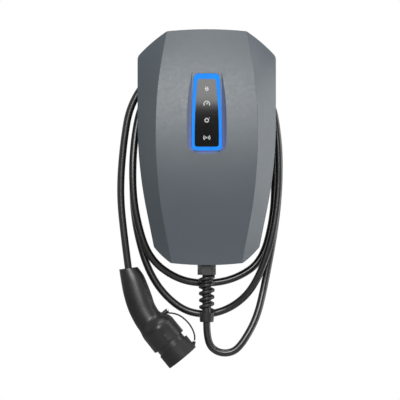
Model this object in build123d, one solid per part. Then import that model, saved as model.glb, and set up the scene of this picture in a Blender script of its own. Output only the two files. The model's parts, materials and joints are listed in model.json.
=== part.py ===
from build123d import *
import math
import os

STANDING = (Align.CENTER, Align.CENTER, Align.MIN)
HANGING = (Align.CENTER, Align.CENTER, Align.MAX)

# EV wallbox with a tethered charging cable hung on the drum behind its cover.
# Millimetres. The wall is the plane y = 0 and the wallbox stands out from it towards -Y.
# X runs to the right seen from the front, Z runs up. Depth means distance from the wall.
# The origin is the centre of the bracket's four wall holes.

# Cover outline, seen from the front
cover_width = 262.4
cover_height = 446.2
edge_crown = 3.8
top_corner_half = 75.4
shoulder_drop = 51.0
shoulder_bulge = 2.2
waist_height = -34.5
foot_half = 100.3
foot_rise = 34.1
foot_bulge = 1.5
bottom_corner_half = 68.2
top_corner_radius = 10.0
shoulder_radius = 15.0
waist_radius = 850.0
foot_radius = 8.0
bottom_corner_radius = 5.0

# Cover form: total depth, wall and the sections of the crowned front.
# Each section: height, half width at the crease, set back from the fullest depth, facet slope.
cover_depth = 112.0
cover_wall = 3.0
panel_crown = 2.5
cover_top = cover_height / 2
cover_bottom = -cover_height / 2
section_overrun = 14.0
cover_sections = [
    (cover_top + section_overrun, 73.0, 34.0, 0.45),
    (cover_top - shoulder_drop, 84.0, 17.0, 0.66),
    (110.0, 92.6, 5.6, 1.06),
    (24.0, 96.2, 0.0, 1.38),
    (-60.0, 92.4, 4.6, 1.36),
    (-130.0, 83.4, 17.0, 1.10),
    (cover_bottom - section_overrun, 64.5, 41.0, 0.78),
]

# Display recess, light guide ring and window, drawn in the tilted display plane
display_top_height = 143.5
display_setback = 10.9
display_tilt = 1.6
recess_top_half = 27.6
recess_middle_half = 28.6
recess_bottom_half = 29.0
recess_rim_half = 39.9
recess_rim_middle_half = 40.3
recess_length = 155.5
recess_rim_rise = 10.0
recess_corner_radius = 12.0
recess_rim_radius = 22.0
recess_rim_bottom_flare = 7.7
ring_drop = 4.8
ring_length = 145.3
ring_top_half = 24.2
ring_middle_half = 27.6
ring_bottom_half = 28.6
ring_corner_radius = 9.0
ring_rise = 0.8
window_drop = 15.2
window_length = 127.7
window_top_half = 17.0
window_middle_half = 21.7
window_bottom_half = 22.6
window_corner_radius = 4.5
window_thickness = 4.6
display_clearance = 0.15
ring_flange_width = 2.0
ring_flange_thickness = 1.2

# Clearance all round what sits in a hole or pocket
fit_clearance = 0.05

# Rear housing: web, flange that the cover closes on, and round-topped cable drum
bracket_pocket = 8.0
housing_wall = 3.0
flange_back = 45.8
flange_thickness = 3.0
flange_inset = 1.0
seal_thickness = 1.2
seal_width = 1.8
locating_rib_width = 2.0
locating_rib_rise = 4.0
locating_clearance = 0.5
tray_front = 58.0
drum_radius = 117.6
drum_centre_height = 49.3
drum_gap = 0.6
drum_step = 30.0
tray_bottom_half = 78.0
tray_bottom_height = -203.0
tray_corner_radius = 18.0
wall_gap = 0.5
gland_block_half = 26.0
gland_block_drop = 14.0
gland_block_front = 66.5

# Cover screws, driven from behind through the flange
cover_screw_places = [(45.0, 195.0), (104.0, 122.0), (97.0, -150.0)]
cover_screw_radius = 2.0
cover_screw_head_radius = 4.0
cover_screw_head_height = 2.3
cover_screw_length = 16.0
cover_boss_radius = 4.5

# Wall bracket
bracket_width = 160.0
bracket_height = 200.0
bracket_sheet = 2.5
bracket_corner_radius = 12.0
wall_hole_spacing_x = 130.0
wall_hole_spacing_z = 160.0
wall_hole_radius = 3.5
hook_spacing = 80.0
hook_width = 24.0
hook_height = 62.0
hook_rise = 16.0
hook_clearance = 0.3
lock_spacing = 70.0
lock_height = -76.0
lock_pad_radius = 9.0
lock_screw_radius = 2.5
lock_head_radius = 4.5
lock_head_height = 3.0

# Rear entry of the supply cable
supply_height = -152.0
supply_bore_radius = 8.0
supply_grommet_radius = 13.0
supply_lip_radius = 16.0
supply_lip_thickness = 2.0

# Cable and gland
cable_radius = 7.0
gland_depth = 46.0
gland_thread_radius = 12.5
gland_thread_length = 17.0
gland_collar_radius = 17.5
gland_collar_height = 12.0
gland_nut_height = 13.0
gland_turn = -4.0
gland_clearance = 0.3
gland_spigot_radius = 11.5
gland_spigot_length = 6.0
seal_height = 4.8
seal_clearance = 0.2
locknut_radius = 18.5
locknut_height = 5.0
relief_pitch = 12.9
relief_turns = 5.25
relief_top_radius = 15.9
relief_bottom_radius = 14.25
relief_core_radius = 8.4
relief_rib_root = 9.6
relief_rib_tip = 4.6
sleeve_length = 17.2
sleeve_bottom_radius = 13.1
sleeve_round = 2.0

# Connector: end of the round body, direction of its axis, and the curved grip.
# Each grip section: x, height, heading from straight down, half width, half depth.
connector_x = -70.3
connector_height = -369.5
connector_depth = 40.0
connector_heading = 39.5
body_radius = 33.6
body_length = 32.0
body_dome = 27.0
body_end_step = 1.2
grip_sections = [
    (-149.0, -229.5, 7.658, 17.7, 16.0),
    (-142.0, -247.2, 15.0, 22.1, 19.0),
    (-135.3, -269.1, 17.0, 24.8, 20.5),
    (-128.4, -290.6, 20.0, 25.8, 21.5),
    (-121.5, -309.0, 25.0, 25.5, 22.0),
    (-112.0, -325.4, 31.0, 26.0, 22.8),
    (-99.4, -341.7, 36.0, 27.0, 23.6),
    (-86.5, -357.5, 39.0, 28.0, 24.5),
]
entry_groove_width = 1.6
entry_groove_depth = 3.0

# Nose, contacts and dust cap, measured along the nose from the end of the round body
shroud_radius = 30.0
shroud_wall = 2.6
shroud_length = 30.0
shroud_flat_drop = 2.2
carrier_radius = 24.0
carrier_setback = 1.5
carrier_root = 14.0
contact_circle_radius = 15.0
power_contact_radius = 3.0
power_socket_radius = 4.4
signal_contact_radius = 1.5
signal_socket_radius = 3.0
signal_contact_spacing = 14.0
signal_contact_offset = 13.5
socket_depth = 20.0
contact_bore_share = 0.62
cap_start = 10.5
cap_wall = 2.0
cap_length = 30.0
cap_end_wall = 3.0
cap_crown = 1.2
cap_round = 1.5
cap_clearance = 0.35
cap_tab_radius = 3.2
cap_tab_reach = 5.0
lug_place = -49.0
lug_radius = 4.2
lug_reach = 35.0
tether_radius = 1.5

# Boards and parts inside
post_radius = 4.5
post_height = 14.0
board_thickness = 1.6
board_width = 140.0
board_top = 130.0
board_bottom = -70.0
board_corner_cut = 16.0
board_screw_inset = 14.0
board_screw_radius = 1.5
board_screw_head = (3.0, 2.0)
board_screw_length = 8.0
relay_width = 30.0
relay_length = 50.0
relay_height = 24.0
relay_spacing = 44.0
relay_centre_height = 88.0
sensor_radius = 19.0
sensor_hole_radius = 8.0
sensor_height = 15.0
sensor_x = 34.0
sensor_centre_height = 24.0
transformer_width = 42.0
transformer_length = 34.0
transformer_height = 26.0
transformer_x = -34.0
transformer_centre_height = 26.0
capacitor_radius = 8.0
capacitor_height = 25.0
capacitor_spacing = 20.0
capacitor_count = 4
capacitor_centre_height = -28.0
terminal_width = 62.0
terminal_length = 30.0
terminal_height = 34.0
terminal_x = 36.0
terminal_centre_height = -110.0
terminal_ways = 5
terminal_entry_radius = 3.4
terminal_entry_depth = 9.0
terminal_well = 2.0
terminal_screw_radius = 2.6
terminal_screw_depth = 10.0
lead_radius = 1.7

# Boards behind the window
carrier_rim = 6.0
carrier_depth = 7.8
carrier_ledge = 6.0
carrier_ear_width = 10.0
carrier_ear_length = 14.0
carrier_ear_thickness = 3.0
carrier_ear_x = 20.0
carrier_ear_offset = 5.0
display_boss_radius = 3.5
display_screw_length = 7.5
led_board_rim = 1.8
led_rows = 8
led_size = 3.0
led_height = 1.2
led_gap = 0.3
antenna_width = 36.0
antenna_length = 44.0
antenna_thickness = 0.8
antenna_track_width = 6.0
antenna_height = -112.0
control_board_gap = 14.0
control_board_overhang = 4.0
control_post_radius = 3.0
control_post_x = 26.6
control_post_heights = (-37.0, -144.0)
link_width = 20.0
link_thickness = 1.0
link_bend = 4.0
header_height = 8.0
header_depth = 7.0
link_board_height = -100.0

# Depths and heights that follow from the sizes above
web_front = bracket_pocket + housing_wall
flange_front = flange_back + flange_thickness
cover_rim = flange_front + seal_thickness
board_back = web_front + post_height
board_front = board_back + board_thickness
gland_block_bottom = tray_bottom_height - gland_block_drop
collar_bottom = gland_block_bottom - gland_collar_height
nut_bottom = collar_bottom - gland_nut_height
spigot_bottom = collar_bottom - gland_spigot_length
seal_top = spigot_bottom - seal_clearance
seal_bottom = seal_top - seal_height
relief_bottom = nut_bottom - relief_pitch * relief_turns - relief_rib_root / 2
cable_exit_height = relief_bottom - sleeve_length
display_back = -cover_wall - ring_flange_thickness
led_board_front = display_back - led_height - led_gap
led_board_back = led_board_front - board_thickness
carrier_back = display_back - carrier_depth
control_board_front = carrier_back - control_board_gap
control_board_back = control_board_front - board_thickness
terminal_front = web_front + terminal_height
cap_inner_radius = shroud_radius + cap_clearance
cap_end = cap_start + cap_length


def drum_pass(depth):
    """Corners of the cable's path over the drum, from the right side to the left."""
    reach = (drum_radius + cable_radius + drum_gap) / math.cos(math.radians(drum_step / 2))
    corners = []
    for step in range(round(180 / drum_step)):
        angle = math.radians(drum_step * (step + 0.5))
        corners.append((reach * math.cos(angle), depth, drum_centre_height + reach * math.sin(angle)))
    return corners


# Cable route from the bend relief to the grip: x, depth, height. The cable goes down round the
# bend, up the right side, over the drum, round two hanging loops, over the drum again and down
# to the connector. The three passes over the drum lie side by side.
cable_route = [
    (0.0, gland_depth, cable_exit_height), (0.0, gland_depth, -370.0), (20.5, 46.0, -390.5),
    (49.5, 45.0, -390.5), (70.0, 43.5, -370.0), (95.5, 36.0, -324.0), (110.5, 24.0, -263.0),
    (132.5, 22.5, -142.0), (138.9, 23.5, -60.0), (137.5, 23.5, 15.0),
    *drum_pass(23.5),
    (-138.0, 32.0, 20.0), (-142.2, 38.0, -54.0), (-136.0, 38.0, -128.0), (-111.5, 35.0, -210.0),
    (-57.0, 23.0, -251.5), (0.0, 16.0, -260.5), (56.0, 12.5, -250.5), (106.0, 9.0, -217.0),
    (127.5, 9.0, -136.0), (130.9, 9.0, -60.0), (129.9, 9.0, 15.0),
    *drum_pass(9.0),
    (-139.0, 10.5, 15.0), (-142.0, 14.0, -62.0), (-137.0, 18.0, -150.0), (-108.0, 18.0, -248.0),
    (-54.5, 17.0, -307.5), (0.0, 16.5, -321.0), (52.0, 18.5, -304.0), (92.0, 34.0, -264.0),
    (123.5, 40.0, -182.0), (136.6, 38.0, -96.0), (138.4, 38.0, -30.0), (134.5, 38.0, 32.0),
    *drum_pass(38.0)[:3],
    (-33.0, 38.0, 178.0), (-98.0, 38.0, 148.0), (-145.0, 38.0, 86.0), (-158.5, 38.0, 10.0),
    (-165.5, 38.5, -85.0), (-157.0, 40.0, -170.0), (-149.0, 40.0, -229.5),
]

# Tether route from the lug to the cap's tab: x, height, in the connector's middle plane
tether_route = [
    (-74.8, -314.4), (-61.0, -315.0), (-45.5, -322.5), (-30.0, -338.5), (-21.5, -359.0), (-24.8, -373.5),
]


# Planes

def front_plane(depth):
    """Plane parallel to the wall at a depth, looked at from the front."""
    return Plane((0, -depth, 0), x_dir=(1, 0, 0), z_dir=(0, -1, 0))


def level_plane(height):
    """Level plane at a height, whose second axis is depth."""
    return Plane((0, 0, height), x_dir=(1, 0, 0), z_dir=(0, 0, -1))


def display_plane(rise=0.0):
    """Tilted plane of the display floor, raised towards the viewer by rise."""
    tilt = math.radians(display_tilt)
    facing = Vector(0, -math.cos(tilt), math.sin(tilt))
    corner = Vector(0, -(cover_depth - display_setback), display_top_height)
    return Plane(corner + facing * rise, x_dir=(1, 0, 0), z_dir=facing)


def heading_plane(x, depth, height, heading):
    """Plane across a direction that leaves straight down by the heading angle."""
    angle = math.radians(heading)
    along = Vector(math.sin(angle), 0, -math.cos(angle))
    across = Vector(math.cos(angle), 0, math.sin(angle))
    return Plane((x, -depth, height), x_dir=across, z_dir=along)


def nose_plane(distance=0.0):
    """Plane across the nose at a distance from the end of the round body."""
    base = heading_plane(connector_x, connector_depth, connector_height, connector_heading)
    return base.offset(distance)


# Outlines

def bulged(start, end, bulge):
    """Arc from start to end whose middle stands off the chord to the left by bulge."""
    chord = Vector(*end) - Vector(*start)
    normal = Vector(-chord.Y, chord.X).normalized()
    middle = Vector(*start) + chord * 0.5 + normal * bulge
    return ThreePointArc(start, middle, end)


def fillet_corners(outline, x, y, radius):
    """Round the corners of an outline that lie at plus and minus x and height y."""
    corners = [v for v in outline.vertices() if math.hypot(abs(v.X) - x, v.Y - y) < 0.01]
    return fillet(corners, radius)


def cover_outline(inset=0.0):
    """Elongated octagon of the cover, with nearly straight sides."""
    half = cover_width / 2
    top_corner = (top_corner_half, cover_top - edge_crown)
    shoulder = (half, cover_top - shoulder_drop)
    waist = (half, waist_height)
    foot = (foot_half, cover_bottom + foot_rise)
    bottom_corner = (bottom_corner_half, cover_bottom + edge_crown)
    right = [
        ThreePointArc((0, cover_top), bowed_point(0, cover_top, top_corner), top_corner),
        bulged(top_corner, shoulder, shoulder_bulge),
        Line(shoulder, waist),
        Line(waist, foot),
        bulged(foot, bottom_corner, foot_bulge),
        ThreePointArc(bottom_corner, bowed_point(0, cover_bottom, bottom_corner), (0, cover_bottom)),
    ]
    left = [mirror(edge, about=Plane.YZ) for edge in right]
    outline = make_face(right + left)
    outline = fillet_corners(outline, *top_corner, top_corner_radius)
    outline = fillet_corners(outline, *shoulder, shoulder_radius)
    outline = fillet_corners(outline, *waist, waist_radius)
    outline = fillet_corners(outline, *foot, foot_radius)
    outline = fillet_corners(outline, *bottom_corner, bottom_corner_radius)
    if inset:
        left_half = offset(outline, -inset) & Pos(-half, 0) * Rectangle(2 * half, 2 * cover_height)
        outline = left_half + mirror(left_half, about=Plane.YZ)
    return outline


def bowed_point(middle_x, middle_y, corner):
    """Point halfway along a bow that is level at its middle and ends at the corner."""
    x = (middle_x + corner[0]) / 2
    y = middle_y + (corner[1] - middle_y) / 4
    return (x, y)


def tapered_outline(top, bottom, top_half, middle_half, bottom_half, top_radius, bottom_radius):
    """Upright outline with bowed sides and round corners, for the display."""
    middle = (top + bottom) / 2
    edges = [
        Line((-top_half, top), (top_half, top)),
        ThreePointArc((top_half, top), (middle_half, middle), (bottom_half, bottom)),
        Line((bottom_half, bottom), (-bottom_half, bottom)),
        ThreePointArc((-bottom_half, bottom), (-middle_half, middle), (-top_half, top)),
    ]
    outline = make_face(edges)
    outline = fillet_corners(outline, top_half, top, top_radius)
    return fillet_corners(outline, bottom_half, bottom, bottom_radius)


def ring_outline(grow=0.0):
    return tapered_outline(
        -ring_drop + grow, -ring_drop - ring_length - grow, ring_top_half + grow,
        ring_middle_half + grow, ring_bottom_half + grow,
        ring_corner_radius + grow, ring_corner_radius + grow)


def window_outline(grow=0.0):
    return tapered_outline(
        -window_drop + grow, -window_drop - window_length - grow, window_top_half + grow,
        window_middle_half + grow, window_bottom_half + grow,
        window_corner_radius + grow, window_corner_radius + grow)


def tray_outline(inset=0.0):
    """Round-topped outline of the cable drum and tray."""
    radius = drum_radius - inset
    half = tray_bottom_half - inset
    bottom = tray_bottom_height + inset
    edges = [
        ThreePointArc((-radius, drum_centre_height), (0, drum_centre_height + radius),
                      (radius, drum_centre_height)),
        Line((radius, drum_centre_height), (half, bottom)),
        Line((half, bottom), (-half, bottom)),
        Line((-half, bottom), (-radius, drum_centre_height)),
    ]
    return fillet_corners(make_face(edges), half, bottom, tray_corner_radius - inset)


def block_outline(inset=0.0):
    """Outline of the block that carries the gland at the bottom of the tray."""
    half = gland_block_half - inset
    bottom = gland_block_bottom + inset
    top = tray_bottom_height + 2 * housing_wall
    return Pos(0, (top + bottom) / 2) * Rectangle(2 * half, top - bottom)


def slab(outline, back, front):
    """Solid between two depths."""
    return extrude(front_plane(back) * outline, front - back)


def round_bar(x, height, back, front, radius):
    """Round bar along the depth."""
    return slab(Pos(x, height) * Circle(radius), back, front)


def both_sides(places):
    """Each place and its mirror image."""
    return [(side * x, height) for x, height in places for side in (-1, 1)]


# Front cover

def crowned_body(inset=0.0):
    """Form of the cover's front: a crowned panel between two slanting facets."""
    reach = cover_width / 2 + 2 * section_overrun
    faces = []
    for height, crease, setback, slope in cover_sections:
        half = crease - inset * math.tan(math.atan(slope) / 2)
        depth = cover_depth - setback - inset
        crease_depth = depth - panel_crown
        edge_depth = crease_depth - slope * (reach - half)
        edges = [
            ThreePointArc((-half, crease_depth), (0, depth), (half, crease_depth)),
            Line((half, crease_depth), (reach, edge_depth)),
            Line((reach, edge_depth), (reach, -cover_depth)),
            Line((reach, -cover_depth), (-reach, -cover_depth)),
            Line((-reach, -cover_depth), (-reach, edge_depth)),
            Line((-reach, edge_depth), (-half, crease_depth)),
        ]
        faces.append(level_plane(height) * make_face(edges))
    return loft(faces)


def recess_body(grow=0.0):
    """Space of the display recess: a flat floor with flared walls, flush at its top."""
    top = ring_drop
    floor = tapered_outline(
        top + grow, top - recess_length - grow, recess_top_half + grow,
        recess_middle_half + grow, recess_bottom_half + grow,
        recess_corner_radius + grow, recess_corner_radius + grow)
    bottom = top - recess_length - recess_rim_bottom_flare
    rim = tapered_outline(
        top + grow, bottom - grow, recess_rim_half + grow, recess_rim_middle_half + grow,
        recess_rim_half + grow, recess_rim_radius + grow, recess_rim_radius + grow)
    rises = (-grow, recess_rim_rise - grow)
    return loft([display_plane(rises[0]) * floor, display_plane(rises[1]) * rim], ruled=True)


def cover_shape():
    return slab(cover_outline(), cover_rim, cover_depth + section_overrun) & crowned_body()


def front_cover():
    outside = cover_shape()
    inside = slab(cover_outline(cover_wall), 0, cover_depth) & crowned_body(cover_wall)
    inside -= recess_body(cover_wall)
    cover = outside - inside
    for x, height in both_sides(cover_screw_places):
        boss = round_bar(x, height, cover_rim, cover_depth, cover_boss_radius)
        cover += boss & outside
    for x, height in carrier_ear_places():
        boss = Pos(x, height) * Circle(display_boss_radius)
        cover += display_slab(boss, carrier_back + carrier_ear_thickness, recess_rim_rise) & outside
    for x, height in both_sides(cover_screw_places):
        front = flange_back + cover_screw_length
        cover -= round_bar(x, height, 0, front, cover_screw_radius + fit_clearance)
    for x, height in carrier_ear_places():
        hole = Pos(x, height) * Circle(board_screw_radius + fit_clearance)
        cover -= display_slab(hole, carrier_back, carrier_back + display_screw_length)
    cover -= recess_body()
    cover -= display_slab(ring_outline(), -cover_wall - 1, 1)
    return cover - notch_below_block()


# Rear housing

def notch_below_block():
    """Room for the gland under its block, through flange and cover edge."""
    half = gland_block_half + locating_clearance
    front = gland_block_front + locating_clearance
    return Pos(0, -front / 2, gland_block_bottom - gland_block_drop) * Box(
        2 * half, front, 2 * gland_block_drop)


def rear_housing():
    shell = slab(tray_outline(), wall_gap, tray_front)
    shell += slab(block_outline(), bracket_pocket, gland_block_front)
    flange = slab(cover_outline(flange_inset), flange_back, flange_front)
    rib_inset = cover_wall + locating_clearance
    rib = cover_outline(rib_inset) - cover_outline(rib_inset + locating_rib_width)
    rib = slab(rib, flange_front, flange_front + locating_rib_rise)
    flange += rib & crowned_body(rib_inset)
    shell += flange - notch_below_block()
    shell -= slab(tray_outline(housing_wall), 0, bracket_pocket)
    shell -= slab(tray_outline(housing_wall), web_front, cover_depth)
    shell -= slab(block_outline(housing_wall), web_front, cover_depth)
    for x, height in board_screw_places():
        shell += round_bar(x, height, web_front, board_back, post_radius)
        shell -= round_bar(x, height, web_front, cover_depth, board_screw_radius + fit_clearance)
    for x, height in both_sides(cover_screw_places):
        shell -= screw_hole(x, height)
    for side in (-1, 1):
        shell -= hook_slot(side)
        hole = lock_screw_radius + fit_clearance
        shell -= round_bar(side * lock_spacing / 2, lock_height, 0, cover_depth, hole)
    shell -= round_bar(0, supply_height, 0, web_front + 1, supply_grommet_radius)
    shell -= gland_bar(gland_thread_radius + fit_clearance, gland_block_bottom - 1, tray_bottom_height)
    return shell


def screw_hole(x, height):
    """Clearance hole with a countersink at the back of the flange."""
    through = round_bar(x, height, 0, flange_front, cover_screw_radius + fit_clearance)
    sink = Cone(
        cover_screw_head_radius + fit_clearance, cover_screw_radius + fit_clearance,
        cover_screw_head_height, align=STANDING)
    return through + front_plane(flange_back) * Pos(x, height) * sink


def hook_slot(side):
    """Slot in the web that a bracket hook passes through."""
    top = hook_height + bracket_sheet + hook_clearance
    tall = hook_rise + 2 * hook_clearance
    width = hook_width + 2 * hook_clearance
    slot = Pos(side * hook_spacing / 2, top - tall / 2) * Rectangle(width, tall)
    return slab(slot, 0, web_front + 1)


def housing_seal():
    ring = cover_outline(flange_inset) - cover_outline(flange_inset + seal_width)
    return slab(ring, flange_front, cover_rim) - notch_below_block()


def cover_screws():
    """Countersunk screws from the back of the flange into the cover's bosses."""
    screws = []
    for x, height in both_sides(cover_screw_places):
        shank = Cylinder(cover_screw_radius, cover_screw_length - 1, align=STANDING)
        head = Cone(cover_screw_head_radius, cover_screw_radius, cover_screw_head_height, align=STANDING)
        screw = shank + head - cross_recess(cover_screw_head_radius)
        screws.append(front_plane(flange_back) * Pos(x, height) * screw)
    return Compound(screws)


def cross_recess(head_radius):
    """Cross-shaped driver recess at the origin, cut into what stands above it."""
    arm = head_radius * 1.1
    slot = head_radius * 0.25
    depth = head_radius * 0.35
    first = Box(arm, slot, 2 * depth)
    return first + Box(slot, arm, 2 * depth)


def pan_screw(radius, length, head_radius, head_height):
    """Pan head screw along Z, seated at the origin with its head above."""
    head = Cylinder(head_radius, head_height, align=STANDING)
    head = fillet(head.edges().group_by(Axis.Z)[-1], head_height * 0.45)
    shank = Cylinder(radius, length, align=HANGING)
    return head + shank - Pos(0, 0, head_height) * cross_recess(head_radius)


# Wall bracket

def wall_bracket():
    outline = RectangleRounded(bracket_width, bracket_height, bracket_corner_radius)
    plate = slab(outline, 0, bracket_sheet)
    pad_back = bracket_pocket - bracket_sheet
    for side in (-1, 1):
        x = side * lock_spacing / 2
        plate += round_bar(x, lock_height, 0, bracket_pocket, lock_pad_radius)
        plate -= round_bar(x, lock_height, 0, pad_back, lock_pad_radius - bracket_sheet)
        plate -= round_bar(x, lock_height, 0, bracket_pocket, lock_screw_radius + fit_clearance)
        plate += hook(side)
        for end in (-1, 1):
            hole_x = side * wall_hole_spacing_x / 2
            plate -= round_bar(hole_x, end * wall_hole_spacing_z / 2, 0, bracket_sheet, wall_hole_radius)
    return plate


def hook(side):
    """Tab bent forward out of the plate and up behind the housing's web."""
    back = web_front + hook_clearance
    front = back + bracket_sheet
    profile = make_face(Polyline(
        (0, hook_height), (front, hook_height), (front, hook_height + hook_rise),
        (back, hook_height + hook_rise), (back, hook_height + bracket_sheet),
        (0, hook_height + bracket_sheet), close=True))
    outer_bend = [v for v in profile.vertices() if abs(v.X - front) + abs(v.Y - hook_height) < 0.01]
    profile = fillet(outer_bend, bracket_sheet)
    side_plane = Plane((side * hook_spacing / 2, 0, 0), x_dir=(0, -1, 0), z_dir=(-1, 0, 0))
    return extrude(side_plane * profile, hook_width / 2, both=True)


def bracket_lock_screws():
    screw = pan_screw(lock_screw_radius, web_front - bracket_sheet, lock_head_radius, lock_head_height)
    places = [(side * lock_spacing / 2, lock_height) for side in (-1, 1)]
    return Compound([front_plane(web_front) * Pos(x, z) * screw for x, z in places])


def supply_grommet():
    """Rubber grommet in the web, with a lip on each side and a bore for the supply cable."""
    back = bracket_pocket - supply_lip_thickness
    front = web_front + supply_lip_thickness
    body = round_bar(0, supply_height, back, front, supply_grommet_radius - fit_clearance)
    body += round_bar(0, supply_height, back, bracket_pocket, supply_lip_radius)
    body += round_bar(0, supply_height, web_front, front, supply_lip_radius)
    return body - round_bar(0, supply_height, back, front, supply_bore_radius)


# Gland and bend relief, all on one upright axis

def gland_bar(radius, bottom, top):
    """Round bar on the gland's axis between two heights."""
    middle = (bottom + top) / 2
    return Pos(0, -gland_depth, middle) * Cylinder(radius, top - bottom)


def gland_hexagon(radius, bottom, top):
    outline = Rot(0, 0, gland_turn) * RegularPolygon(radius, 6)
    return Pos(0, -gland_depth, bottom) * extrude(outline, top - bottom)


def gland_body():
    body = gland_hexagon(gland_collar_radius, collar_bottom, gland_block_bottom)
    top = gland_block_bottom + gland_thread_length
    body += gland_bar(gland_thread_radius, gland_block_bottom, top)
    body += gland_bar(gland_spigot_radius, spigot_bottom, collar_bottom)
    return body - gland_bar(cable_radius + gland_clearance, spigot_bottom, top)


def gland_locknut():
    seat = gland_block_bottom + housing_wall
    nut = gland_hexagon(locknut_radius, seat, seat + locknut_height)
    return nut - gland_bar(gland_thread_radius + fit_clearance, seat, seat + locknut_height)


def gland_seal():
    ring = gland_bar(gland_spigot_radius, seal_bottom, seal_top)
    return ring - gland_bar(cable_radius + fit_clearance, seal_bottom, seal_top)


def spiral_gland_nut():
    """Hexagon nut with the tapering spiral bend relief and its end sleeve in one moulding."""
    top = collar_bottom - gland_clearance
    nut = gland_hexagon(gland_collar_radius, nut_bottom, top)
    core = gland_bar(relief_core_radius, relief_bottom, nut_bottom)
    sleeve = Pos(0, -gland_depth, relief_bottom) * Cone(
        relief_bottom_radius, sleeve_bottom_radius, sleeve_length, rotation=(180, 0, 0),
        align=STANDING)
    sleeve = fillet(sleeve.edges().group_by(Axis.Z)[0], sleeve_round)
    body = nut + core + spiral_rib() + sleeve
    body -= gland_bar(cable_radius + gland_clearance, cable_exit_height, top)
    return body - gland_bar(gland_spigot_radius + seal_clearance, seal_bottom - seal_clearance, top)


def spiral_rib():
    """Tapering helical rib round the core, wide at its root and narrow at its tip."""
    height = relief_pitch * relief_turns
    taper = math.degrees(math.atan((relief_top_radius - relief_bottom_radius) / height))
    path = Helix(relief_pitch, height, relief_core_radius, cone_angle=taper)
    reach = relief_bottom_radius - relief_core_radius
    root = relief_rib_root / 2
    tip = relief_rib_tip / 2
    sink = relief_core_radius - cable_radius - 2 * gland_clearance
    section = make_face(Polyline((-sink, -root), (reach, -tip), (reach, tip), (-sink, root), close=True))
    tips = [v for v in section.vertices() if v.X > 0]
    section = fillet(tips, tip * 0.8)
    section_plane = Plane(path @ 0, x_dir=(1, 0, 0), z_dir=path % 0)
    rib = sweep(section_plane * section, path=path, is_frenet=True)
    return Pos(0, -gland_depth, relief_bottom + relief_rib_root / 2) * rib


# Cable, its tail inside the gland, and the leads

def route_points(route):
    return [Vector(x, -depth, height) for x, depth, height in route]


def bend_radii(points):
    """Radius of each bend: as large as the two runs beside it allow."""
    radii = []
    for before, corner, after in zip(points, points[1:], points[2:]):
        run = min((corner - before).length, (after - corner).length)
        turn = math.radians((corner - before).get_angle(after - corner))
        radii.append(0.45 * run / math.tan(turn / 2))
    return radii


def tube(points, radius):
    """Round tube along straight runs joined by tangent arcs."""
    path = FilletPolyline(*points, radius=bend_radii(points))
    start = Plane(points[0], z_dir=points[1] - points[0])
    return sweep(start * Circle(radius), path=path), path.length


def charging_cable():
    points = route_points(cable_route)
    cable, length = tube(points, cable_radius)
    print("cable bend radii", [round(radius) for radius in bend_radii(points)])
    print("cable length", round(length), "volume ratio",
          round(cable.volume / (math.pi * cable_radius ** 2 * length), 4))
    return cable


def cable_tail():
    """Cable end inside the gland, with its cores fanned out to the output terminals."""
    top = gland_block_bottom + gland_thread_length + 6
    tail = gland_bar(cable_radius, cable_exit_height, top)
    rows = [(-4.0, -2.0), (-2.0, 2.0), (0.0, -2.0), (2.0, 2.0), (4.0, -2.0)]
    ways = terminal_way_places(terminal_x)
    entry_depth = web_front + terminal_height / 2
    bottom = terminal_centre_height - terminal_length / 2
    for (x, shift), way in zip(rows, ways):
        depth = gland_depth + shift
        points = route_points([
            (x, depth, top - 1), (x * 1.4, depth, top + 12), (way, entry_depth, bottom - 18),
            (way, entry_depth, bottom + 6)])
        core, _ = tube(points, lead_radius)
        tail += core
    return tail


# Terminals

def terminal_way_places(centre):
    pitch = terminal_width / terminal_ways
    return [centre + pitch * (way - (terminal_ways - 1) / 2) for way in range(terminal_ways)]


def terminal_block(centre):
    """Moulded block with a wire entry from below and a screw well for each way."""
    back = web_front
    front = terminal_front
    outline = Pos(centre, terminal_centre_height) * Rectangle(terminal_width, terminal_length)
    block = slab(outline, back, front)
    block = chamfer(block.edges().group_by(Axis.Y)[0], 1.5)
    bottom = terminal_centre_height - terminal_length / 2
    entry = Cylinder(terminal_entry_radius, 2 * terminal_entry_depth)
    for x in terminal_way_places(centre):
        block -= Pos(x, -(back + front) / 2, bottom) * entry
        well_back = front - terminal_well - terminal_screw_depth
        well_radius = terminal_screw_radius + fit_clearance
        block -= round_bar(x, terminal_centre_height, well_back, front, well_radius)
    return block


def terminal_screws():
    front = terminal_front - terminal_well
    screws = []
    for centre in (-terminal_x, terminal_x):
        for x in terminal_way_places(centre):
            screw = Cylinder(terminal_screw_radius, terminal_screw_depth, align=HANGING)
            screw -= Box(3 * terminal_screw_radius, 0.8, 2.4)
            screws.append(front_plane(front) * Pos(x, terminal_centre_height) * screw)
    return Compound(screws)


# Power board and what stands on it

def board_screw_places():
    x = board_width / 2 - board_screw_inset
    heights = (board_bottom + board_screw_inset, board_top - board_screw_inset)
    return [(side * x, height) for height in heights for side in (-1, 1)]


def power_board():
    middle = (board_top + board_bottom) / 2
    outline = Pos(0, middle) * Rectangle(board_width, board_top - board_bottom)
    outline = chamfer(outline.vertices().group_by(Axis.Y)[-1], board_corner_cut)
    board = slab(outline, board_back, board_front)
    for x, height in board_screw_places():
        board -= round_bar(x, height, 0, cover_depth, board_screw_radius + fit_clearance)
    return board


def board_screws():
    screw = pan_screw(board_screw_radius, board_screw_length, *board_screw_head)
    return Compound([front_plane(board_front) * Pos(x, z) * screw for x, z in board_screw_places()])


def on_board(outline, height, round_edge=0.0):
    """Part that stands on the power board."""
    piece = slab(outline, board_front, board_front + height)
    if round_edge:
        piece = fillet(piece.faces().sort_by(Axis.Y)[0].edges(), round_edge)
    return piece


def relays():
    outline = Rectangle(relay_width, relay_length)
    return Compound([
        on_board(Pos(side * relay_spacing / 2, relay_centre_height) * outline, relay_height, 1.5)
        for side in (-1, 1)])


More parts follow.
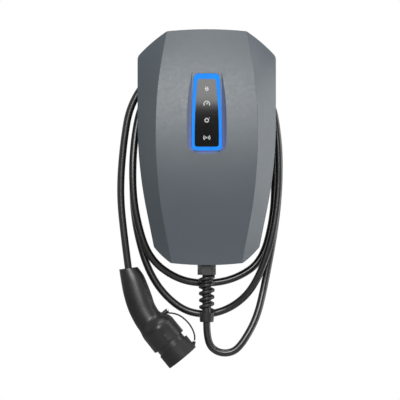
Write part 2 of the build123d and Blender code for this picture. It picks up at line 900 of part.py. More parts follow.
def residual_current_sensor():
    ring = Circle(sensor_radius) - Circle(sensor_hole_radius)
    return on_board(Pos(sensor_x, sensor_centre_height) * ring, sensor_height, 1.5)


def supply_transformer():
    """Bobbin with a laminated core round it."""
    place = Pos(transformer_x, transformer_centre_height)
    core = on_board(place * Rectangle(transformer_width, transformer_length), transformer_height)
    window = place * Rectangle(transformer_width - 16, transformer_length + 8)
    winding = slab(window, board_front + 4, board_front + transformer_height - 4)
    return core + fillet(winding.edges().filter_by(Axis.X), 3)


def filter_capacitors():
    first = -capacitor_spacing * (capacitor_count - 1) / 2
    cans = []
    for index in range(capacitor_count):
        place = Pos(first + capacitor_spacing * index, capacitor_centre_height)
        cans.append(on_board(place * Circle(capacitor_radius), capacitor_height, 1.0))
    return Compound(cans)


# Display stack behind the cover's floor, in the tilted display plane

def display_slab(outline, back, front):
    """Solid between two rises over the display floor."""
    return extrude(display_plane(back) * outline, front - back)


def light_guide_ring():
    """Ring that fills the opening, with a flange behind the floor."""
    hole = window_outline(display_clearance)
    ring = display_slab(ring_outline(-display_clearance) - hole, display_back, ring_rise)
    ring = fillet(ring.faces().sort_by(Axis.Y)[0].outer_wire().edges(), ring_rise * 0.8)
    return ring + display_slab(ring_outline(ring_flange_width) - hole, display_back, -cover_wall)


def display_window():
    return display_slab(window_outline(), display_back, display_back + window_thickness)


def display_carrier():
    """Frame behind the window with a seat for the LED board and posts for the control board."""
    frame = display_slab(ring_outline(carrier_rim), carrier_back, display_back)
    frame -= display_slab(ring_outline(led_board_rim + seal_clearance), led_board_back, display_back)
    frame -= display_slab(ring_outline(-carrier_ledge), carrier_back, led_board_back)
    ear_outline = RectangleRounded(carrier_ear_width, carrier_ear_length, carrier_ear_width / 3)
    ear_front = carrier_back + carrier_ear_thickness
    hole_outline = Circle(board_screw_radius + fit_clearance)
    for place in [Pos(x, height) for x, height in carrier_ear_places()]:
        frame += display_slab(place * ear_outline - ring_outline(), carrier_back, ear_front)
        frame -= display_slab(place * hole_outline, carrier_back, ear_front)
    for place in [Pos(x, height) for x, height in control_post_places()]:
        frame += display_slab(place * Circle(control_post_radius), control_board_front, carrier_back)
        frame -= display_slab(place * hole_outline, control_board_front, carrier_back)
    return frame


def carrier_ear_places():
    top = -ring_drop + carrier_rim + carrier_ear_offset
    bottom = -ring_drop - ring_length - carrier_rim - carrier_ear_offset
    return [(side * carrier_ear_x, height) for height in (top, bottom) for side in (-1, 1)]


def control_post_places():
    return [(side * control_post_x, height) for height in control_post_heights for side in (-1, 1)]


def led_board():
    """Board with rows of light diodes behind the ring."""
    board = display_slab(ring_outline(led_board_rim), led_board_back, led_board_front)
    first = -window_drop
    spacing = window_length / (led_rows - 1)
    half = (ring_bottom_half + window_bottom_half) / 2
    top_half = (ring_top_half + window_top_half) / 2
    for row in range(led_rows):
        x = top_half + (half - top_half) * row / (led_rows - 1)
        for side in (-1, 1):
            diode = Pos(side * x, first - spacing * row) * Rectangle(led_size, led_size)
            board += display_slab(diode, led_board_front, led_board_front + led_height)
    return board


def card_reader_antenna():
    """Flat loop of the card reader on the front of the LED board."""
    inner = Rectangle(antenna_width - antenna_track_width, antenna_length - antenna_track_width)
    loop = Pos(0, antenna_height) * (Rectangle(antenna_width, antenna_length) - inner)
    return display_slab(loop, led_board_front, led_board_front + antenna_thickness)


def control_board():
    top, bottom = control_post_heights
    width = 2 * (control_post_x + control_board_overhang)
    length = top - bottom + 2 * control_board_overhang
    outline = Pos(0, (top + bottom) / 2) * RectangleRounded(width, length, control_board_overhang / 2)
    for x, height in control_post_places():
        outline -= Pos(x, height) * Circle(board_screw_radius + fit_clearance)
    return display_slab(outline, control_board_back, control_board_front)


def display_screws():
    """Screws of the carrier and of the control board, driven from behind."""
    screws = []
    screw = pan_screw(board_screw_radius, display_screw_length, *board_screw_head)
    screw = Rot(180, 0, 0) * screw
    for x, height in carrier_ear_places():
        screws.append(display_plane(carrier_back) * Pos(x, height) * screw)
    for x, height in control_post_places():
        screws.append(display_plane(control_board_back) * Pos(x, height) * screw)
    return Compound(screws)


def board_link():
    """Flat cable with a header at each end, from the control board to the power board."""
    start_height = display_top_height + link_board_height
    floor = display_plane(control_board_back).from_local_coords((0, link_board_height, 0))
    top_depth = -floor.Y - header_depth
    bottom_depth = board_front + header_depth
    end_height = start_height - link_width
    path = FilletPolyline(
        (top_depth, start_height), (top_depth - link_bend * 2, start_height),
        (bottom_depth + link_bend * 2, end_height), (bottom_depth, end_height), radius=link_bend)
    ribbon = trace(path, link_thickness)
    side_plane = Plane((0, 0, 0), x_dir=(0, -1, 0), z_dir=(-1, 0, 0))
    link = extrude(side_plane * ribbon, link_width / 2, both=True)
    header = Rectangle(link_width + 2, header_height)
    link += slab(Pos(0, end_height) * header, board_front, bottom_depth)
    upper = Pos(0, link_board_height) * header
    return link + display_slab(upper, control_board_back - header_depth, control_board_back)


# Connector: grip, nose, contacts and dust cap

def round_body():
    """Round end of the grip, closed by a dome at the back."""
    profile = make_face([
        Line((0, 0), (body_radius, 0)),
        Line((body_radius, 0), (body_radius, -body_length)),
        EllipticalCenterArc((0, -body_length), body_radius, body_dome, arc_size=-90),
        Line((0, -body_length - body_dome), (0, 0)),
    ])
    body = revolve(Plane.XZ * profile, axis=Axis.Z)
    body = fillet(body.edges().group_by(Axis.Z)[-1], body_end_step)
    return nose_plane() * body


def grip_handle():
    """Curved handle that tapers towards the cable."""
    sections = []
    for x, height, heading, half_width, half_depth in grip_sections:
        plane = heading_plane(x, connector_depth, height, heading)
        sections.append(plane * Ellipse(half_width, half_depth))
    return loft(sections)


def cable_entry():
    """Plane of the grip's upper end, where the cable enters."""
    x, height, heading = grip_sections[0][:3]
    return heading_plane(x, connector_depth, height, heading)


def connector_grip():
    grip = grip_handle() + round_body()
    outer = cable_radius + entry_groove_width
    grip -= cable_entry() * extrude(Circle(outer) - Circle(cable_radius), entry_groove_depth)
    grip += lug_plane() * Cylinder(lug_radius, lug_reach, align=STANDING)
    hole = Cylinder(board_screw_radius + fit_clearance, 2 * board_screw_length)
    return grip - lug_plane(lug_reach) * hole


def lug_plane(reach=0.0):
    """Plane across the lug at a reach from the nose's axis."""
    base = nose_plane(lug_place)
    return Plane(base.origin + base.x_dir * reach, x_dir=base.z_dir, z_dir=base.x_dir)


def nose_outline(radius):
    """Circle with a flat at the top."""
    return Circle(radius) & Pos(-shroud_flat_drop, 0) * Rectangle(2 * radius, 2 * radius)


def nose_shroud():
    outline = nose_outline(shroud_radius) - nose_outline(shroud_radius - shroud_wall)
    return nose_plane() * extrude(outline, shroud_length)


def power_contact_places():
    half = contact_circle_radius / 2
    row = math.sqrt(contact_circle_radius ** 2 - half ** 2)
    return [(0, 0), (0, contact_circle_radius), (0, -contact_circle_radius), (-row, half), (-row, -half)]


def signal_contact_places():
    half = signal_contact_spacing / 2
    return [(signal_contact_offset, half), (signal_contact_offset, -half)]


def contact_carrier():
    front = shroud_length - carrier_setback
    root = nose_outline(shroud_radius - shroud_wall - fit_clearance)
    carrier = extrude(root, carrier_root) + extrude(Circle(carrier_radius), front)
    for x, y in power_contact_places():
        carrier -= Pos(x, y, front) * Cylinder(power_socket_radius, socket_depth, align=HANGING)
    for x, y in signal_contact_places():
        carrier -= Pos(x, y, front) * Cylinder(signal_socket_radius, socket_depth, align=HANGING)
    return nose_plane() * carrier


def contacts(places, radius):
    """Round sockets standing on the floors of the carrier's wells."""
    floor = shroud_length - carrier_setback - socket_depth
    length = socket_depth - carrier_setback
    contact = Cylinder(radius, length, align=STANDING)
    bore = Pos(0, 0, length) * Cylinder(radius * contact_bore_share, length / 2, align=HANGING)
    contact -= bore
    return Compound([nose_plane(floor) * Pos(x, y) * contact for x, y in places])


def tether_screw():
    screw = pan_screw(board_screw_radius, board_screw_length, *board_screw_head)
    return lug_plane(lug_reach) * screw


def dust_cap():
    """Cup over the nose with a slightly crowned end and a root for the tether."""
    outer = cap_inner_radius + cap_wall
    face = cap_end - cap_crown
    profile = make_face([
        Line((-outer, cap_start), (outer, cap_start)),
        Line((outer, cap_start), (outer, face)),
        ThreePointArc((outer, face), (0, cap_end), (-outer, face)),
        Line((-outer, face), (-outer, cap_start)),
    ])
    profile = fillet(profile.vertices().group_by(Axis.Y)[-1], cap_round)
    hollow = cap_length - cap_end_wall
    profile -= Pos(0, cap_start + hollow / 2) * Rectangle(2 * cap_inner_radius, hollow)
    profile &= Pos(outer, cap_start) * Rectangle(2 * outer, 4 * cap_length)
    cup = nose_plane() * revolve(Plane.XZ * profile, axis=Axis.Z)
    root, along = tether_foot()
    tab = Plane(root, z_dir=along) * Cylinder(cap_tab_radius, 2 * cap_tab_reach)
    return cup + (tab - nose_plane() * extrude(Circle(outer - cap_wall / 2), cap_end))


def tether_foot():
    """Where the tether's line meets the cap, and its direction away from the cap."""
    points = [Vector(x, -connector_depth, height) for x, height in tether_route]
    return points[-1], (points[-2] - points[-1]).normalized()


def cap_tether():
    points = [Vector(x, -connector_depth, height) for x, height in tether_route]
    root, along = tether_foot()
    points[-1] = root + along * (cap_tab_reach + gland_clearance)
    cord, _ = tube(points, tether_radius)
    return cord


# Every part by the name of its file
parts = {
    "front_cover": front_cover(),
    "display_window": display_window(),
    "light_guide_ring": light_guide_ring(),
    "display_carrier": display_carrier(),
    "led_board": led_board(),
    "card_reader_antenna": card_reader_antenna(),
    "control_board": control_board(),
    "display_screws": display_screws(),
    "board_link": board_link(),
    "rear_housing": rear_housing(),
    "housing_seal": housing_seal(),
    "cover_screws": cover_screws(),
    "wall_bracket": wall_bracket(),
    "bracket_lock_screws": bracket_lock_screws(),
    "supply_grommet": supply_grommet(),
    "gland_body": gland_body(),
    "gland_locknut": gland_locknut(),
    "gland_seal": gland_seal(),
    "spiral_gland_nut": spiral_gland_nut(),
    "cable_tail": cable_tail(),
    "charging_cable": charging_cable(),
    "power_board": power_board(),
    "board_screws": board_screws(),
    "relays": relays(),
    "residual_current_sensor": residual_current_sensor(),
    "supply_transformer": supply_transformer(),
    "filter_capacitors": filter_capacitors(),
    "mains_terminal_block": terminal_block(-terminal_x),
    "output_terminal_block": terminal_block(terminal_x),
    "terminal_screws": terminal_screws(),
    "connector_grip": connector_grip(),
    "nose_shroud": nose_shroud(),
    "contact_carrier": contact_carrier(),
    "power_contacts": contacts(power_contact_places(), power_contact_radius),
    "signal_contacts": contacts(signal_contact_places(), signal_contact_radius),
    "tether_screw": tether_screw(),
    "dust_cap": dust_cap(),
    "cap_tether": cap_tether(),
}

os.makedirs("parts", exist_ok=True)
for name, shape in parts.items():
    export_step(shape, f"parts/{name}.step")
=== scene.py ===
import json
import math

import bmesh
import bpy
import numpy
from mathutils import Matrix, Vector


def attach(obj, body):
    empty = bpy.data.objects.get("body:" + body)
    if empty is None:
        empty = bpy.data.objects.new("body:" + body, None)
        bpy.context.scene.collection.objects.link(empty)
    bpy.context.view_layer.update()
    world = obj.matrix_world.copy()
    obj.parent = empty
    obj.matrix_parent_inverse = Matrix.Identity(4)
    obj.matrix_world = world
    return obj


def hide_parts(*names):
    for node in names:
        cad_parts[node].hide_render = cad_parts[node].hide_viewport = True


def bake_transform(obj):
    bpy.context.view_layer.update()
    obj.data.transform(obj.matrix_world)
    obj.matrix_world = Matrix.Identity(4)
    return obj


# Looks of an EV wallbox with a tethered charging cable. Metres, in the frame of the CAD model:
# the wall is y = 0, the box stands out towards -Y, X runs right and Z up.
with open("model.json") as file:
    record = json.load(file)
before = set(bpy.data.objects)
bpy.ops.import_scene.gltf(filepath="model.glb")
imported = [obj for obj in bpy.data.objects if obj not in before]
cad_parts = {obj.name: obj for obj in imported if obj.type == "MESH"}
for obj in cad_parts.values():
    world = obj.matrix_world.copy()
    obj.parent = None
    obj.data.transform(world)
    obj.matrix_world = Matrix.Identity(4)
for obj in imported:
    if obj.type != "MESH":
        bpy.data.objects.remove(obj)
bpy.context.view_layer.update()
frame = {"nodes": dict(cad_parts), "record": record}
nodes = frame["nodes"]

MM = 0.001


# Camera: looks straight at the wall from far away

CAMERA_DISTANCE = 6.0
VIEW_WIDTH = 0.76
VIEW_CENTRE = (-0.01273, -0.05, -0.09975)
SENSOR_WIDTH = 36.0
CLIP_END = 50.0


def add_camera():
    data = bpy.data.cameras.new("camera")
    data.sensor_width = SENSOR_WIDTH
    data.lens = SENSOR_WIDTH * CAMERA_DISTANCE / VIEW_WIDTH
    data.clip_end = CLIP_END
    camera = bpy.data.objects.new("camera", data)
    camera.location = Vector(VIEW_CENTRE) + Vector((0, -CAMERA_DISTANCE, 0))
    camera.rotation_euler = (math.radians(90), 0, 0)
    bpy.context.scene.collection.objects.link(camera)
    bpy.context.scene.camera = camera


# Helpers for objects

def link(name, data, material=None):
    piece = bpy.data.objects.new(name, data)
    bpy.context.scene.collection.objects.link(piece)
    if material:
        data.materials.append(material)
    return piece


def ride(piece, body):
    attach(piece, body)


# Materials: their detail is noise in the object's own coordinates, with scales per metre

NOISE_LOW = 0.3
NOISE_HIGH = 0.7
CLOUD_SCALE = 22.0
CLOUD_DETAIL = 3.0
GLOSS_SCALE = 140.0
GLOSS_DETAIL = 4.0
GLOSS_SPREAD = 0.08
GRAIN_DETAIL = 2.0
GRAIN_STRENGTH = 0.5
METAL_CLOUD_SCALE = 60.0
METAL_CLOUD_DETAIL = 4.0
METAL_SHADE = 0.8
METAL_GRAIN_SCALE = 900.0
METAL_SMOOTHER = 0.06
METAL_ROUGHER = 0.08
LIGHT_SCALE = 45.0
LIGHT_DETAIL = 2.0
LIGHT_DIMMEST = 0.93
LIGHT_BRIGHTEST = 1.05
LIGHT_ROUGHNESS = 0.5
LIGHT_SPECULAR = 0.05


def node_material(name):
    material = bpy.data.materials.new(name)
    material.use_nodes = True
    tree = material.node_tree
    return material, tree, tree.nodes["Principled BSDF"]


def noise(tree, scale, detail):
    """Noise texture in object coordinates."""
    coordinates = tree.nodes.new("ShaderNodeTexCoord")
    texture = tree.nodes.new("ShaderNodeTexNoise")
    texture.inputs["Scale"].default_value = scale
    texture.inputs["Detail"].default_value = detail
    tree.links.new(coordinates.outputs["Object"], texture.inputs["Vector"])
    return texture.outputs["Fac"]


def spread(tree, value, low, high):
    """Map the middle of a noise value to the range from low to high."""
    node = tree.nodes.new("ShaderNodeMapRange")
    node.inputs["From Min"].default_value = NOISE_LOW
    node.inputs["From Max"].default_value = NOISE_HIGH
    node.inputs["To Min"].default_value = low
    node.inputs["To Max"].default_value = high
    tree.links.new(value, node.inputs["Value"])
    return node.outputs["Result"]


def mix_colours(tree, factor, first, second):
    node = tree.nodes.new("ShaderNodeMix")
    node.data_type = "RGBA"
    tree.links.new(factor, node.inputs["Factor"])
    node.inputs["A"].default_value = (*first, 1.0)
    node.inputs["B"].default_value = (*second, 1.0)
    return node.outputs["Result"]


def scaled(colour, factor):
    return tuple(channel * factor for channel in colour)


def add_grain(tree, shader, grain, depth, edge_radius):
    """Fine bumps, over edges that are shaded as rounded where an edge radius is given."""
    bump = tree.nodes.new("ShaderNodeBump")
    bump.inputs["Strength"].default_value = GRAIN_STRENGTH
    bump.inputs["Distance"].default_value = depth
    tree.links.new(noise(tree, grain, GRAIN_DETAIL), bump.inputs["Height"])
    if edge_radius:
        edge = tree.nodes.new("ShaderNodeBevel")
        edge.inputs["Radius"].default_value = edge_radius
        tree.links.new(edge.outputs["Normal"], bump.inputs["Normal"])
    tree.links.new(bump.outputs["Normal"], shader.inputs["Normal"])


def plastic(name, colour, roughness, grain, depth, specular=0.5, variation=0.12, edge_radius=0.0):
    """Moulded plastic or rubber: fine grain, cloudy colour and uneven gloss."""
    material, tree, shader = node_material(name)
    cloud = spread(tree, noise(tree, CLOUD_SCALE, CLOUD_DETAIL), 0.0, 1.0)
    pair = (scaled(colour, 1 - variation), scaled(colour, 1 + variation))
    tree.links.new(mix_colours(tree, cloud, *pair), shader.inputs["Base Color"])
    uneven = noise(tree, GLOSS_SCALE, GLOSS_DETAIL)
    gloss = spread(tree, uneven, roughness * (1 - GLOSS_SPREAD), roughness * (1 + GLOSS_SPREAD))
    tree.links.new(gloss, shader.inputs["Roughness"])
    shader.inputs["Specular IOR Level"].default_value = specular
    add_grain(tree, shader, grain, depth, edge_radius)
    return material


def metal(name, colour, roughness):
    """Plain metal with a cloudy colour and finely uneven gloss."""
    material, tree, shader = node_material(name)
    cloud = spread(tree, noise(tree, METAL_CLOUD_SCALE, METAL_CLOUD_DETAIL), 0.0, 1.0)
    pair = (scaled(colour, METAL_SHADE), colour)
    tree.links.new(mix_colours(tree, cloud, *pair), shader.inputs["Base Color"])
    uneven = noise(tree, METAL_GRAIN_SCALE, GRAIN_DETAIL)
    gloss = spread(tree, uneven, roughness - METAL_SMOOTHER, roughness + METAL_ROUGHER)
    tree.links.new(gloss, shader.inputs["Roughness"])
    shader.inputs["Metallic"].default_value = 1.0
    return material


def glow(name, colour, strength, base):
    """Lit surface: the light is a little uneven along it."""
    material, tree, shader = node_material(name)
    cloud = spread(tree, noise(tree, LIGHT_SCALE, LIGHT_DETAIL), 0.0, 1.0)
    pair = (scaled(colour, LIGHT_DIMMEST), scaled(colour, LIGHT_BRIGHTEST))
    tree.links.new(mix_colours(tree, cloud, *pair), shader.inputs["Emission Color"])
    shader.inputs["Emission Strength"].default_value = strength
    shader.inputs["Base Color"].default_value = (*base, 1.0)
    shader.inputs["Roughness"].default_value = LIGHT_ROUGHNESS
    shader.inputs["Specular IOR Level"].default_value = LIGHT_SPECULAR
    return material


# Plastics: name, colour, roughness, scale and depth of the grain, and then, where they aren't the
# usual ones, specular level, variation of the colour and radius of the edges
PLASTICS = [
    ("cover_plastic", (0.041, 0.050, 0.058), 0.43, 2600.0, 0.00002, 0.36, 0.03, 1.2 * MM),
    ("window_gloss", (0.001, 0.001, 0.001), 0.05, 300.0, 0.0, 0.125, 0.2),
    ("inner_plastic", (0.03, 0.03, 0.032), 0.6, 1500.0, 0.00005),
    ("circuit_board", (0.01, 0.09, 0.04), 0.35, 400.0, 0.00002),
    ("housing_plastic", (0.022, 0.022, 0.024), 0.55, 1600.0, 0.00008),
    ("seal_rubber", (0.015, 0.015, 0.015), 0.7, 1800.0, 0.00005),
    ("gland_plastic", (0.008, 0.008, 0.0085), 0.38, 1400.0, 0.00003, 0.28),
    ("cable_rubber", (0.004, 0.004, 0.0045), 0.26, 1500.0, 0.00002, 0.35),
    ("component_plastic", (0.03, 0.04, 0.1), 0.45, 900.0, 0.00003),
    ("transformer_core", (0.16, 0.15, 0.13), 0.5, 700.0, 0.00005),
    ("capacitor_sleeve", (0.01, 0.01, 0.03), 0.25, 500.0, 0.00001),
    ("terminal_plastic", (0.3, 0.31, 0.31), 0.5, 1200.0, 0.00003),
    ("grip_plastic", (0.006, 0.006, 0.0065), 0.36, 1500.0, 0.00002, 0.3),
    ("cap_rubber", (0.008, 0.008, 0.0085), 0.55, 1600.0, 0.00004, 0.2),
    ("floor_paint", (0.8, 0.8, 0.8), 0.8, 300.0, 0.0001, 0.5, 0.02),
]

# Metals: name, colour and roughness
METALS = [
    ("antenna_copper", (0.75, 0.42, 0.25), 0.35),
    ("zinc_steel", (0.62, 0.62, 0.6), 0.35),
    ("bracket_steel", (0.56, 0.57, 0.58), 0.42),
    ("contact_metal", (0.85, 0.84, 0.8), 0.22),
]

# Lit surfaces: name, colour and strength of the light, and colour of the surface
LIT_SURFACES = [
    ("light_guide", (0.01, 0.262, 0.93), 1.0, (0.0, 0.01, 0.04)),
    ("icon_white", (0.62, 0.64, 0.66), 0.5, (0.3, 0.3, 0.3)),
]


def make_materials():
    """Every material by the name of its slot."""
    made = {}
    for maker, rows in ((plastic, PLASTICS), (metal, METALS), (glow, LIT_SURFACES)):
        for name, *values in rows:
            made[name] = maker(name, *values)
    return made


MATERIALS = make_materials()


def dress_nodes():
    """Give each CAD node the material of its slot."""
    for part in frame["record"]["subparts"]:
        shown = nodes[part["node"]]
        shown.data.materials.clear()
        shown.data.materials.append(MATERIALS[part["material_slot"]])


# Charging cable along the same route as in part.py: x, depth and height in millimetres

CABLE_DIAMETER = 14 * MM
CURVE_STEPS = 12
BEVEL_STEPS = 8
DRUM_RADIUS = 117.6
DRUM_CENTRE_HEIGHT = 49.3
DRUM_GAP = 0.6
DRUM_STEP = 30.0
CABLE_EXIT = (0.0, 46.0, -331.725)


def drum_pass(depth):
    """Corners of the cable's path over the drum, from the right side to the left."""
    axis_radius = DRUM_RADIUS + DRUM_GAP + CABLE_DIAMETER / MM / 2
    reach = axis_radius / math.cos(math.radians(DRUM_STEP / 2))
    corners = []
    for step in range(round(180 / DRUM_STEP)):
        angle = math.radians(DRUM_STEP * (step + 0.5))
        corners.append((reach * math.cos(angle), depth, DRUM_CENTRE_HEIGHT + reach * math.sin(angle)))
    return corners


CABLE_ROUTE = [
    CABLE_EXIT, (0.0, 46.0, -370.0), (20.5, 46.0, -390.5),
    (49.5, 45.0, -390.5), (70.0, 43.5, -370.0), (95.5, 36.0, -324.0), (110.5, 24.0, -263.0),
    (132.5, 22.5, -142.0), (138.9, 23.5, -60.0), (137.5, 23.5, 15.0),
    *drum_pass(23.5),
    (-138.0, 32.0, 20.0), (-142.2, 38.0, -54.0), (-136.0, 38.0, -128.0), (-111.5, 35.0, -210.0),
    (-57.0, 23.0, -251.5), (0.0, 16.0, -260.5), (56.0, 12.5, -250.5), (106.0, 9.0, -217.0),
    (127.5, 9.0, -136.0), (130.9, 9.0, -60.0), (129.9, 9.0, 15.0),
    *drum_pass(9.0),
    (-139.0, 10.5, 15.0), (-142.0, 14.0, -62.0), (-137.0, 18.0, -150.0), (-108.0, 18.0, -248.0),
    (-54.5, 17.0, -307.5), (0.0, 16.5, -321.0), (52.0, 18.5, -304.0), (92.0, 34.0, -264.0),
    (123.5, 40.0, -182.0), (136.6, 38.0, -96.0), (138.4, 38.0, -30.0), (134.5, 38.0, 32.0),
    *drum_pass(38.0)[:3],
    (-33.0, 38.0, 178.0), (-98.0, 38.0, 148.0), (-145.0, 38.0, 86.0), (-158.5, 38.0, 10.0),
    (-165.5, 38.5, -85.0), (-157.0, 40.0, -170.0), (-149.0, 40.0, -229.5),
]


def metres(point):
    """Point from x, depth and height in millimetres to the frame."""
    x, depth, height = point
    return Vector((x * MM, -depth * MM, height * MM))


def smooth_curve(name, points):
    """Curve of one open quadratic NURBS spline with these control points."""
    curve = bpy.data.curves.new(name, "CURVE")
    curve.dimensions = "3D"
    spline = curve.splines.new("NURBS")
    spline.points.add(len(points) - 1)
    for control, point in zip(spline.points, points):
        control.co = (*point, 1.0)
    spline.order_u = 3
    spline.use_endpoint_u = True
    spline.resolution_u = CURVE_STEPS
    return curve


def add_cable(plug):
    """The cable's jacket. The pieces of the plug that it is given are not used."""
    curve = smooth_curve("charging_cable_jacket", [metres(point) for point in CABLE_ROUTE])
    curve.bevel_depth = CABLE_DIAMETER / 2
    curve.bevel_resolution = BEVEL_STEPS
    curve.use_fill_caps = True
    cable = link("charging_cable_jacket", curve, MATERIALS["cable_rubber"])
    ride(cable, "wallbox")
    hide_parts("charging_cable")


# Tether of the dust cap: a thin cord in a fixed curve from the grip to the cap

TETHER_DIAMETER = 3 * MM
TETHER_SIDES = 12
CONNECTOR_DEPTH = 40.0
TETHER_ROUTE = [
    (-74.8, -314.4), (-61.0, -315.0), (-45.5, -322.5), (-30.0, -338.5), (-21.5, -359.0),
    (-23.32, -366.99),
]


def sampled(curve):
    """Points along a curve that has no bevel."""
    probe = link("probe", curve)
    mesh = bpy.data.meshes.new_from_object(probe)
    points = [vertex.co.copy() for vertex in mesh.vertices]
    bpy.data.objects.remove(probe)
    bpy.data.meshes.remove(mesh)
    return points


def ring_mesh(name, rings, sharp=180.0):
    """Closed mesh over rings of as many points each, with sharp edges above an angle."""
    mesh = bpy.data.meshes.new(name)
    shape = bmesh.new()
    sides = len(rings[0])
    rings = [[shape.verts.new(point) for point in ring] for ring in rings]
    for first, second in zip(rings, rings[1:]):
        for side in range(sides):
            following = (side + 1) % sides
            shape.faces.new((first[side], first[following], second[following], second[side]))
    shape.faces.new(rings[0][::-1])
    shape.faces.new(rings[-1])
    bmesh.ops.recalc_face_normals(shape, faces=shape.faces)
    for face in shape.faces:
        face.smooth = True
    shape.to_mesh(mesh)
    shape.free()
    mesh.set_sharp_from_angle(angle=math.radians(sharp))
    return mesh


def tube_rings(points, radius, sides):
    """Rings round points that lie in a plane of constant depth."""
    rings = []
    for index, point in enumerate(points):
        before = points[max(index - 1, 0)]
        after = points[min(index + 1, len(points) - 1)]
        along = (after - before).normalized()
        out = Vector((0, 1, 0))
        across = along.cross(out).normalized()
        ring = []
        for side in range(sides):
            angle = 2 * math.pi * side / sides
            ring.append(point + radius * (math.cos(angle) * across + math.sin(angle) * out))
        rings.append(ring)
    return rings


def add_tether():
    """The tether from the lug on the grip to the cap, bending between the two."""
    control = [metres((x, CONNECTOR_DEPTH, height)) for x, height in TETHER_ROUTE]
    points = sampled(smooth_curve("tether_line", control))
    mesh = ring_mesh("tether_cord", tube_rings(points, TETHER_DIAMETER / 2, TETHER_SIDES))
    tether = link("tether_cord", mesh, MATERIALS["cap_rubber"])
    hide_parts("cap_tether")
    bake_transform(tether)


# Grip of the connector: handle and round body in one smooth skin, in millimetres

GRIP_END = (-70.3, -369.5)
GRIP_HEADING = 39.5
GRIP_SIDES = 96
GRIP_RINGS = 130
BISECTIONS = 26
SHARP_ANGLE = 35.0
BODY_RADIUS = 33.6
BODY_LENGTH = 32.0
BODY_DOME = 27.0
FRONT_TAPER = 0.07
NECK_BLEND = 8.0
RIM_RADIUS = 1.2
RIM_STEPS = 5
RIM_ROOM = 2.4
CABLE_CORE = 6.9
GROOVE_RADIUS = 8.6
GROOVE_DEPTH = 3.0
RIDGE_RISE = 0.7
RIDGE_WIDTH = 2.6
RIDGES = [((-24.0, 20.0), (-4.0, 19.5)), ((-14.0, 0.5), (-4.0, 1.0))]
CROWN_PLACE = -36.0
CROWN_RISE = 2.2
CROWN_WIDTH = 13.0
LUG_PLACE = -49.0
LUG_RADIUS = 4.2
LUG_REACH = 35.0
LUG_ROOT = 20.0
LUG_HOLE = 1.55
LUG_CHAMFER = 0.4
LUG_SIDES = 32

# Stations of the skin: x, height, heading from straight down, shift of the handle's centre to the
# right, half width and half depth of the handle. The last two are the round body's length apart.
GRIP_STATIONS = [
    (-149.0, -229.5, 7.658, 0.0, 17.7, 16.0),
    (-142.0, -247.2, 15.0, 0.0, 22.1, 19.0),
    (-135.3, -269.1, 17.0, 0.0, 24.8, 20.5),
    (-128.4, -290.6, 20.0, 0.0, 25.8, 21.5),
    (-121.5, -309.0, 27.0, 0.0, 25.5, 22.0),
    (-107.5, -328.0, 35.0, -2.4, 26.0, 22.8),
    (-90.65, -344.8, GRIP_HEADING, -4.1, 27.0, 23.6),
    (*GRIP_END, GRIP_HEADING, -4.9, 28.0, 24.5),
]


def station(place):
    """Values of the smooth curve through the stations, at a place counted in stations."""
    values = numpy.array(GRIP_STATIONS)
    last = len(values) - 1
    index = min(int(place), last - 1)
    u = place - index
    before = values[max(index - 1, 0)]
    first = values[index]
    second = values[index + 1]
    after = values[min(index + 2, last)]
    linear = (second - before) * u
    square = (2 * before - 5 * first + 4 * second - after) * u ** 2
    cubic = (3 * first - before - 3 * second + after) * u ** 3
    return first + (linear + square + cubic) / 2


def directions(heading):
    """Unit vectors along and across a heading, as x and height."""
    angle = math.radians(heading)
    return (math.sin(angle), -math.cos(angle)), (math.cos(angle), math.sin(angle))


def front_share(along):
    """Share of its depth that the front of the round body keeps, from its dome to its end."""
    return 1 - FRONT_TAPER * numpy.clip(along / BODY_LENGTH + 1, 0, 1)


def front_relief(along, across):
    """Height of the crown and the two ridges that the front of the round body carries."""
    from_crown = numpy.hypot(along - CROWN_PLACE, across)
    relief = CROWN_RISE * numpy.exp(-(from_crown / CROWN_WIDTH) ** 2)
    for (s0, a0), (s1, a1) in RIDGES:
        ds = s1 - s0
        da = a1 - a0
        share = ((along - s0) * ds + (across - a0) * da) / (ds ** 2 + da ** 2)
        place = numpy.clip(share, 0, 1)
        from_ridge = numpy.hypot(along - s0 - place * ds, across - a0 - place * da)
        relief = relief + RIDGE_RISE * numpy.exp(-(from_ridge / RIDGE_WIDTH) ** 2)
    return relief


def body_distance(x, out, height):
    """Distance outside the round body."""
    (ax, az), (cx, cz) = directions(GRIP_HEADING)
    dx = x - GRIP_END[0]
    dz = height - GRIP_END[1]
    along = dx * ax + dz * az
    across = dx * cx + dz * cz
    depth = numpy.where(out > 0, out / front_share(along), out)
    behind = numpy.minimum(along + BODY_LENGTH, 0) / BODY_DOME
    share = numpy.hypot(behind, numpy.hypot(across, depth) / BODY_RADIUS)
    distance = (share - 1) * BODY_RADIUS
    return distance - numpy.where(out > 0, front_relief(along, across), 0)


def skin_distance(values, across, out):
    """Distance outside the grip at a station, with handle and round body softly blended."""
    x, height, heading, shift, half_width, half_depth = values
    _, (cx, cz) = directions(heading)
    share = numpy.hypot((across - shift) / half_width, out / half_depth)
    handle = (share - 1) * min(half_width, half_depth)
    body = body_distance(x + across * cx, out, height + across * cz)
    mix = numpy.clip(0.5 + 0.5 * (handle - body) / NECK_BLEND, 0, 1)
    return handle + (body - handle) * mix - NECK_BLEND * mix * (1 - mix)


